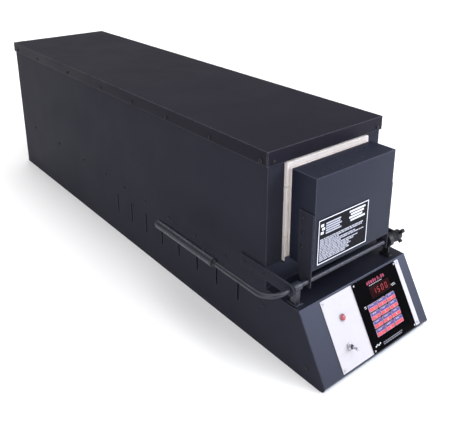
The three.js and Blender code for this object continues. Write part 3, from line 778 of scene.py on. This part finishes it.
for side, word in ((-1, "left"), (1, "right")):
    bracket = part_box(f"{word}_door_bracket")
    face = bracket[0].x if side < 0 else bracket[1].x
    places = [(face, bracket[0].y + 25 * MM, z) for z in BRACKET_SCREW_ZS]
    screws(f"{word}_bracket_screws", places, side * X, ARM_SCREW, DOOR)
door_low, door_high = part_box("door_shell")


def door_top_screws():
    """Two rows of small screws that hold the pan to its brick."""
    rows = [(door_low.y + 17 * MM, 0.0), (door_low.y + 44 * MM, 14 * MM)]
    return [(door_low.x + 26 * MM + shift + i * 30 * MM, y, door_high.z)
            for y, shift in rows for i in range(6)]


screws("door_top_screws", door_top_screws(), Z, 1.9 * MM, DOOR)

# the spring, its collar and the two bolts that wind it
spring_low, spring_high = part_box("torsion_spring")
spring_outer = (spring_high.z - spring_low.z) / 2
spring_wire = 1.15 * MM
spring_length = spring_high.x - spring_low.x - 2 * spring_wire
spring_points = coil(spring_length, lambda s: (on_hinge(spring_low.x + spring_wire + s), Y, Z),
                     spring_outer, spring_wire, 2.45 * MM, 40)
tail_way = Vector((0.1, -0.15, -1)).normalized()
tail = [spring_points[-1] + t * tail_way * 9 * MM for t in (0.3, 0.65, 1.0)]
spring = to_mesh(sweep(spring_points + tail, spring_wire, 10), "torsion_spring")
new_object("torsion_spring_coil", spring, BLACK_STEEL, KILN, ["torsion_spring"], 60)
ring_low, ring_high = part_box("spring_collar")
RING = (ring_high.z - ring_low.z) / 2
rod_piece("spring_collar", "_turned", lathe(
    rounded_ring(ROD + 0.2 * MM, RING, 0, ring_high.x - ring_low.x, 0.9 * MM),
    X, on_hinge(ring_low.x)), BLACK_STEEL)


def socket_bolt(node):
    """A socket-head bolt standing out of the collar towards the CAD node's middle."""
    low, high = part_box(node)
    middle = (low + high) / 2
    centre = on_hinge((low.x + high.x) / 2)
    out = (middle - centre).normalized()
    reach = max((v.co - centre).dot(out) for v in frame["nodes"][node].data.vertices)
    radius = (high.x - low.x) / 2
    socket = radius * 0.55
    bolt = lathe([
        (0, ROD + 1 * MM), (2.8 * MM, ROD + 1 * MM), (2.8 * MM, RING + 0.3 * MM),
        (radius - 0.3 * MM, RING + 0.3 * MM), (radius, RING + 0.7 * MM), (radius, reach - 0.7 * MM),
        (radius - 0.7 * MM, reach), (socket, reach), (socket * 0.92, reach - 2.5 * MM),
        (0, reach - 2.9 * MM),
    ], out, centre, 30)
    return rod_piece(node, "_socket", bolt, BLACK_STEEL)


for name in ("upper_tension_bolt", "lower_tension_bolt"):
    socket_bolt(name)


# ---- control panel ----
OUT = -Vector(JOINTS["key_1_press"]["axis"]).normalized()
UP = X.cross(-OUT).normalized()


def panel_box(node):
    """Lowest and highest (x, up the slope, out of the slope) of a CAD node."""
    points = [(v.co.x, v.co.dot(UP), v.co.dot(OUT)) for v in frame["nodes"][node].data.vertices]
    return Vector(map(min, zip(*points))), Vector(map(max, zip(*points)))


PANEL = Matrix(((1, 0, 0, 0), (0, UP.y, OUT.y, 0), (0, UP.z, OUT.z, 0), (0, 0, 0, 1)))


def rounded_plate(low, high, radius, edge=0.2 * MM, steps=5):
    """A flat plate with round corners between two panel points."""
    bm = bmesh.new()
    outline = []
    turns = ((high.x, high.y), (low.x, high.y), (low.x, low.y), (high.x, low.y))
    for quarter, (corner_x, corner_y) in enumerate(turns):
        x = corner_x - radius * (1 if corner_x == high.x else -1)
        y = corner_y - radius * (1 if corner_y == high.y else -1)
        for i in range(steps + 1):
            angle = math.pi / 2 * (quarter + i / steps)
            outline.append((x + radius * math.cos(angle), y + radius * math.sin(angle)))
    bottom = bm.faces.new([bm.verts.new((x, y, low.z)) for x, y in outline])
    grown = bmesh.ops.extrude_face_region(bm, geom=[bottom])
    top = [v for v in grown["geom"] if isinstance(v, bmesh.types.BMVert)]
    bmesh.ops.translate(bm, verts=top, vec=(0, 0, high.z - low.z))
    if edge:
        rim = [e for e in bm.edges if all(v in top for v in e.verts)]
        bmesh.ops.bevel(bm, geom=rim, offset=edge, segments=2, affect="EDGES", profile=0.5)
    return bm


def panel_piece(name, bm, material, body=KILN, replaced=(), smooth=50):
    """A piece made in panel coordinates, set on the slope."""
    return new_object(name, to_mesh(moved(bm, PANEL), name), material, body, replaced, smooth)


def bars(rectangles, base, thick=0.12 * MM):
    """Thin raised bars, each (x0, u0, x1, u1), on the plane at height base."""
    bm = bmesh.new()
    for x0, u0, x1, u1 in rectangles:
        merge(bm, block((x0, u0, base), (x1, u1, base + thick)))
    return bm


SEGMENTS = {  # of a seven-segment figure: (x0, y0, x1, y1) on a 4 by 7 grid
    "a": (0.7, 6.4, 3.3, 7.0), "b": (3.4, 3.7, 4.0, 6.4), "c": (3.4, 0.6, 4.0, 3.3),
    "d": (0.7, 0.0, 3.3, 0.6), "e": (0.0, 0.6, 0.6, 3.3), "f": (0.0, 3.7, 0.6, 6.4),
    "g": (0.7, 3.2, 3.3, 3.8),
}
FIGURES = {"0": "abcdef", "1": "bc", "2": "abged", "3": "abgcd", "4": "fgbc", "5": "afgcd",
           "6": "afgedc", "7": "abc", "8": "abcdefg", "9": "abcdfg", "-": "g"}


def figure(sign, x, u, height):
    """The bars of one figure, with its lower left corner at (x, u)."""
    unit = height / 7
    return [(x + a * unit, u + b * unit, x + c * unit, u + d * unit)
            for a, b, c, d in (SEGMENTS[s] for s in FIGURES[sign])]


eased("control_plate", WHITE, KILN, 0.3 * MM)
eased("keypad_overlay", OVERLAY, KILN, 0.25 * MM)
plate_low, plate_high = panel_box("control_plate")
film_low, film_high = panel_box("keypad_overlay")
FILM = film_high.z
glass_low, glass_high = panel_box("display_window")
panel_piece("display_window_glass", rounded_plate(glass_low, glass_high, 1.2 * MM), DISPLAY,
            replaced=["display_window"])


def display_figures():
    """Four generic figures in the middle of the window."""
    high = 11.5 * MM
    pitch = 12.2 * MM
    middle = (glass_low + glass_high) / 2
    left = middle.x - 2 * pitch + 2.5 * MM
    marks = []
    for i, sign in enumerate("1500"):
        marks += figure(sign, left + i * pitch, middle.y - high / 2, high)
    return marks


panel_piece("display_figures", bars(display_figures(), glass_high.z), SEGMENT, smooth=0)


def title_bars():
    """A heading drawn as plain blocks, without letters."""
    top = film_high.y - 9 * MM
    left = glass_low.x - 3 * MM
    marks = []
    gap = (0, 0)
    blocks = ((4, 6), (4, 7), (5, 6), (4, 7), (4, 6), gap, (3, 7), (2, 4), gap, (4, 7), (4, 6))
    for width, rise in blocks:
        if width:
            marks.append((left, top - 7.5 * MM, left + width * MM, top - (7.5 - rise) * MM))
        left += (width + 2.1) * MM
    return marks


panel_piece("title_blocks", bars(title_bars(), FILM), TITLE_RED, smooth=0)


def row_of_marks(x, u, count, width, height, pitch):
    """Equal bars in a row, from the lower left corner (x, u)."""
    return [(x + i * pitch, u, x + i * pitch + width, u + height) for i in range(count)]


def legend_bars():
    """Small plain marks round the display and along the foot of the film."""
    key_left = panel_box("key_1")[0].x
    first_row = panel_box("key_1")[1].y
    beside = glass_high.x + 1 * MM
    marks = row_of_marks(glass_low.x + 2 * MM, film_high.y - 19.6 * MM, 8, 3.2 * MM, 1.0 * MM, 5.2 * MM)
    marks += row_of_marks(beside, glass_low.y + 5.4 * MM, 3, 3.0 * MM, 1.3 * MM, 4.2 * MM)
    marks += row_of_marks(beside + 2 * MM, glass_low.y + 2.4 * MM, 3, 2.6 * MM, 1.2 * MM, 4.0 * MM)
    marks += row_of_marks(key_left - 9.5 * MM, first_row - 1 * MM, 2, 2.4 * MM, 1.6 * MM, 3.4 * MM)
    marks += row_of_marks(key_left - 8.5 * MM, first_row - 4 * MM, 2, 2.0 * MM, 1.4 * MM, 3.2 * MM)
    for i in range(4):
        x = film_low.x + (8 + 4.4 * i) * MM
        u = film_low.y + (10 + 1.6 * (i % 2)) * MM
        marks += row_of_marks(x, u, 1, 3.4 * MM, 2.6 * MM, 0)
    return marks


panel_piece("legend_marks", bars(legend_bars(), FILM), LEGEND, smooth=0)
foot_left = film_low.x + 32 * MM
foot_rows = row_of_marks(foot_left, film_low.y + 9.4 * MM, 10, 5.2 * MM, 1.9 * MM, 6.2 * MM)
foot_rows += row_of_marks(foot_left, film_low.y + 6.0 * MM, 9, 5.4 * MM, 1.9 * MM, 6.6 * MM)
panel_piece("foot_marks", bars(foot_rows, FILM), DIM_INK, smooth=0)

KEY_INSET = 0.5 * MM
KEY_BORDER = 0.7 * MM
BAND_GAP = 0.3 * MM
BAND_RISE = 0.1 * MM


def key_cap(index, sign):
    """A key: pale border, violet upper band with a bar, red lower band with a figure."""
    node = f"key_{index}"
    body = f"key_{index}_body"
    low, high = panel_box(node)
    low += Vector((KEY_INSET, KEY_INSET, 0))
    high -= Vector((KEY_INSET, KEY_INSET, 0))
    panel_piece(f"{node}_cap", rounded_plate(low, high, 1.4 * MM), KEY_EDGE, body, [node])
    split = low.y + (high.y - low.y) * 0.52
    left, right = low.x + KEY_BORDER, high.x - KEY_BORDER
    bottom, top = low.y + KEY_BORDER, high.y - KEY_BORDER
    ink_top = high.z + BAND_RISE
    for word, start, end, ink in (("upper", split + BAND_GAP, top, KEY_BLUE),
                                  ("lower", bottom, split - BAND_GAP, KEY_RED)):
        band = rounded_plate(Vector((left, start, high.z - 0.02 * MM)), Vector((right, end, ink_top)),
                             0.5 * MM, 0)
        panel_piece(f"{node}_{word}_band", band, ink, body, smooth=0)
    middle = (low.x + high.x) / 2
    upper_middle = (split + BAND_GAP + top) / 2
    marks = row_of_marks(middle - 7 * MM, upper_middle + 0.9 * MM, 3, 2.6 * MM, 0.9 * MM, 3.6 * MM)
    marks += figure(sign, middle - 1.1 * MM, bottom + 1.2 * MM, 4.0 * MM)
    panel_piece(f"{node}_marks", bars(marks, ink_top, 0.08 * MM), LEGEND, body, smooth=0)


for index, sign in enumerate("123456789-0-", 1):
    key_cap(index, sign)

bezel_low, bezel_high = panel_box("pilot_bezel")
PILOT = (bezel_low + bezel_high) / 2
PLATE = plate_high.z
pilot_foot = (PILOT.x, PILOT.y, PLATE)
bezel = in_mm((5.2, -12), (6.2, -12), (6.2, 0.3), (7.6, 0.3), (7.8, 0.6), (7.7, 1.7), (7.3, 2.4),
              (6.8, 2.4), (6.5, 2.0), (6.5, 1.0), (5.2, 1.0), (5.2, -12))
panel_piece("pilot_bezel_turned", lathe(bezel, Z, pilot_foot, 48), PLATED,
            replaced=["pilot_bezel"])
dome = in_mm((0, -9), (4.9, -9), (4.9, 1.3), (6.2, 1.3), (6.2, 2.8), (5.9, 3.8), (5.2, 4.7),
             (4.2, 5.4), (3.0, 5.9), (1.5, 6.2), (0, 6.3))
panel_piece("pilot_lens_dome", lathe(dome, Z, pilot_foot, 40), LENS, replaced=["pilot_lens"])

TOGGLE_PIVOT = Vector(JOINTS["toggle_tilt"]["pos_m"])
pivot = Vector((TOGGLE_PIVOT.x, TOGGLE_PIVOT.dot(UP), TOGGLE_PIVOT.dot(OUT)))
stem_top = panel_box("toggle_switch_body")[1].z


def threaded(radius, start, end, pitch=0.9 * MM, depth=0.28 * MM):
    """(radius, height) of a fine thread, as stacked ridges."""
    profile = []
    height = start
    while height < end - pitch:
        profile += [(radius - depth, height), (radius, height + pitch / 2)]
        height += pitch
    return profile + [(radius - depth, height)]


def toggle_body():
    """The switch case behind the plate, its threaded stem and its hexagon nut."""
    low = panel_box("toggle_switch_body")[0]
    case = block((pivot.x - 8 * MM, pivot.y - 14 * MM, low.z),
                 (pivot.x + 8 * MM, pivot.y + 14 * MM, PLATE - 2.5 * MM), 1 * MM)
    stem = lathe([
        (0, PLATE - 4 * MM), (5.3 * MM, PLATE - 4 * MM),
        *threaded(5.6 * MM, PLATE - 3.8 * MM, stem_top), (5.0 * MM, stem_top),
        (4.4 * MM, stem_top), (3.1 * MM, stem_top - 6 * MM), (0, stem_top - 6.5 * MM),
    ], Z, (pivot.x, pivot.y, 0), 36)
    nut_low, nut_high = PLATE + 0.3 * MM, PLATE + 2.9 * MM
    nut = lathe([
        (5.7 * MM, nut_low), (7.2 * MM, nut_low), (7.6 * MM, PLATE + 0.7 * MM),
        (7.6 * MM, PLATE + 2.5 * MM), (7.1 * MM, nut_high), (5.7 * MM, nut_high), (5.7 * MM, nut_low),
    ], Z, (pivot.x, pivot.y, 0), 6)
    return merge(merge(case, stem), nut)


panel_piece("toggle_switch_turned", toggle_body(), PLATED,
            replaced=["toggle_switch_body"])


def toggle_lever():
    """The bat, leaning the way that the CAD lever does at rest."""
    points = frame["nodes"]["toggle_lever"].data.vertices
    tip = max((v.co - TOGGLE_PIVOT for v in points), key=lambda v: v.length)
    lean = math.copysign(math.radians(13), tip.dot(UP))
    aim = Vector((0, math.sin(lean), math.cos(lean)))
    bat = in_mm((0, -3), (1.8, -2.8), (2.1, 0), (1.8, 5), (2.2, 10), (2.9, 15), (3.1, 17),
                (2.8, 18.6), (1.8, 19.6), (0, 19.8))
    return lathe(bat, aim, pivot, 32)


panel_piece("toggle_lever_bat", toggle_lever(), PLATED, "toggle", ["toggle_lever"])


def corner_screws(name, low, high, inset_x, inset_u, radius):
    """A plated screw in each corner of a plate on the slope."""
    places = [PANEL @ Vector((x, u, high.z)) for x in (low.x + inset_x, high.x - inset_x)
              for u in (low.y + inset_u, high.y - inset_u)]
    screws(name, places, OUT, radius, KILN, PLATED)


corner_screws("plate_corner_screws", plate_low, plate_high, 5.5 * MM, 5.5 * MM, 2.6 * MM)
corner_screws("film_corner_screws", film_low, film_high, 4 * MM, 4.5 * MM, 2.2 * MM)


# ---- data plate ----
def data_plate():
    """A printed plate with a white border and plain bars where the print was."""
    low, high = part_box("data_plate")
    face = low.y
    eased("data_plate", PLATE_FIELD, DOOR, 0.25 * MM)

    def print_bars(name, rectangles, material):
        bm = bmesh.new()
        for x0, z0, x1, z1 in rectangles:
            merge(bm, block((x0, face - 0.12 * MM, z0), (x1, face - 0.01 * MM, z1)))
        new_object(name, to_mesh(bm, name), material, DOOR, smooth=0)

    edge, line = 1.0 * MM, 2.0 * MM
    x0, x1, z0, z1 = low.x + edge, high.x - edge, low.z + edge, high.z - edge
    print_bars("data_plate_border", [
        (x0, z0, x1, z0 + line), (x0, z1 - line, x1, z1),
        (x0, z0 + line, x0 + line, z1 - line), (x1 - line, z0 + line, x1, z1 - line)], PLATE_WHITE)
    dice = random.Random(7)
    width = x1 - x0
    heading = []
    for i in range(4):
        top = z1 - 7 * MM - i * 6.4 * MM
        left = x0 + width * (0.60 + 0.03 * (i % 2))
        heading.append((left, top - 4.2 * MM, x0 + width * (0.93 - 0.03 * (i % 3)), top))
    for i in range(3):
        shift = i % 2
        heading.append((x0 + 6 * MM + shift * 3 * MM, z1 - (15 + 8 * i) * MM,
                        x0 + (14 + 3 * shift) * MM, z1 - (9.5 + 8 * i) * MM))
    print_bars("data_plate_heading", heading, PLATE_WHITE)
    rows = []
    for i in range(5):
        top = z1 - (10 + 5.0 * i) * MM
        rows.append((x0 + 20 * MM, top - 3.2 * MM, x0 + (58 + 10 * dice.random()) * MM, top))
    # how far across the plate each small row runs
    reach = (0.90, 0.88, 0.40, 0.74, 0.92, 0.45, 0.80, 0.72, 0.62, 0.66, 0.60, 0.63, 0.58)
    pitch = (z1 - z0 - 46 * MM) / len(reach)
    for i, share in enumerate(reach):
        z = z1 - 41 * MM - i * pitch
        end = x0 + width * share
        start = x0 + 5 * MM
        while start < end - 3 * MM:
            stop = min(end, start + (4 + 12 * dice.random()) * MM)
            rows.append((start, z - pitch * 0.66, stop, z))
            start = stop + 1.5 * MM
    print_bars("data_plate_lines", rows, PLATE_INK)


data_plate()


# ---- floor, light and camera ----
def stage():
    """A pale floor that stays bright far from the lights, like a lit studio sweep."""
    glow_starts, glow_full, glow = 1.5, 5.0, 0.75
    bpy.ops.mesh.primitive_plane_add(size=60, location=(0, 0, -0.2 * MM))
    floor = bpy.context.object
    floor.name = "floor"
    look = Shader("pale_floor", (0.95, 0.95, 0.95), 0.75)
    distance = look.node("VectorMath", {0: look.place}, operation="LENGTH").outputs["Value"]
    strength = look.ramp(distance, glow_starts, glow_full, 0, glow)
    look.tree.links.new(strength, look.shader.inputs["Emission Strength"])
    look.set(Specular_IOR_Level=0.1, Emission_Color=(1, 1, 1, 1))
    floor.data.materials.append(look.done())


def softbox(name, place, aim, size, power, color=(1, 1, 1)):
    """A rectangular area light at place that looks at aim."""
    light = bpy.data.lights.new(name, "AREA")
    light.shape = "RECTANGLE"
    light.size, light.size_y = size
    light.energy = power
    light.color = color
    lamp = bpy.data.objects.new(name, light)
    bpy.context.scene.collection.objects.link(lamp)
    lamp.location = place
    lamp.rotation_euler = (Vector(aim) - Vector(place)).to_track_quat("-Z", "Y").to_euler()


def camera():
    """Front-left and above, with the upright lines kept nearly parallel by a vertical shift."""
    place = (-0.8471, -1.2868, 0.8384)
    look = Vector((0.58822, 0.74013, -0.32588)).normalized()
    level = Vector((0.78212, -0.62311, -0.00344))
    right = (level - look * level.dot(look)).normalized()
    up = right.cross(look)
    lens = bpy.data.cameras.new("camera")
    lens.sensor_width = 36
    lens.lens = 47.76
    lens.shift_y = -0.219
    lens.clip_end = 100
    eye = bpy.data.objects.new("camera", lens)
    bpy.context.scene.collection.objects.link(eye)
    turn = Matrix((right, up, -look)).transposed().to_4x4()
    eye.matrix_world = Matrix.Translation(place) @ turn
    bpy.context.scene.camera = eye


def world(front, rear):
    """A studio that is brighter on the door's side than behind the kiln."""
    door_side, far_side = -0.3, 0.5
    made = bpy.data.worlds.new("studio")
    made.use_nodes = True
    tree = made.node_tree
    back = tree.nodes["Background"]
    back.inputs["Color"].default_value = (1, 1, 1, 1)
    place = tree.nodes.new("ShaderNodeTexCoord")
    split = tree.nodes.new("ShaderNodeSeparateXYZ")
    ramp = tree.nodes.new("ShaderNodeMapRange")
    ramp.inputs["From Min"].default_value = door_side
    ramp.inputs["From Max"].default_value = far_side
    ramp.inputs["To Min"].default_value = front
    ramp.inputs["To Max"].default_value = rear
    tree.links.new(place.outputs["Generated"], split.inputs[0])
    tree.links.new(split.outputs["Y"], ramp.inputs["Value"])
    tree.links.new(ramp.outputs["Result"], back.inputs["Strength"])
    bpy.context.scene.world = made


stage()
world(0.40, 0.33)
softbox("overhead", (0.2, 0.4, 3.2), (0.2, 0.4, 0), (2.4, 6.5), 152)
softbox("front", (1.35, -2.1, 1.15), (0, -0.62, 0.1), (1.7, 1.2), 54, (0.80, 0.86, 1.0))
softbox("left", (-2.4, -2.2, 1.5), (0, -0.3, 0.2), (1.8, 1.8), 40, (0.94, 0.95, 1.0))
camera()
bpy.context.scene.view_settings.view_transform = "Standard"
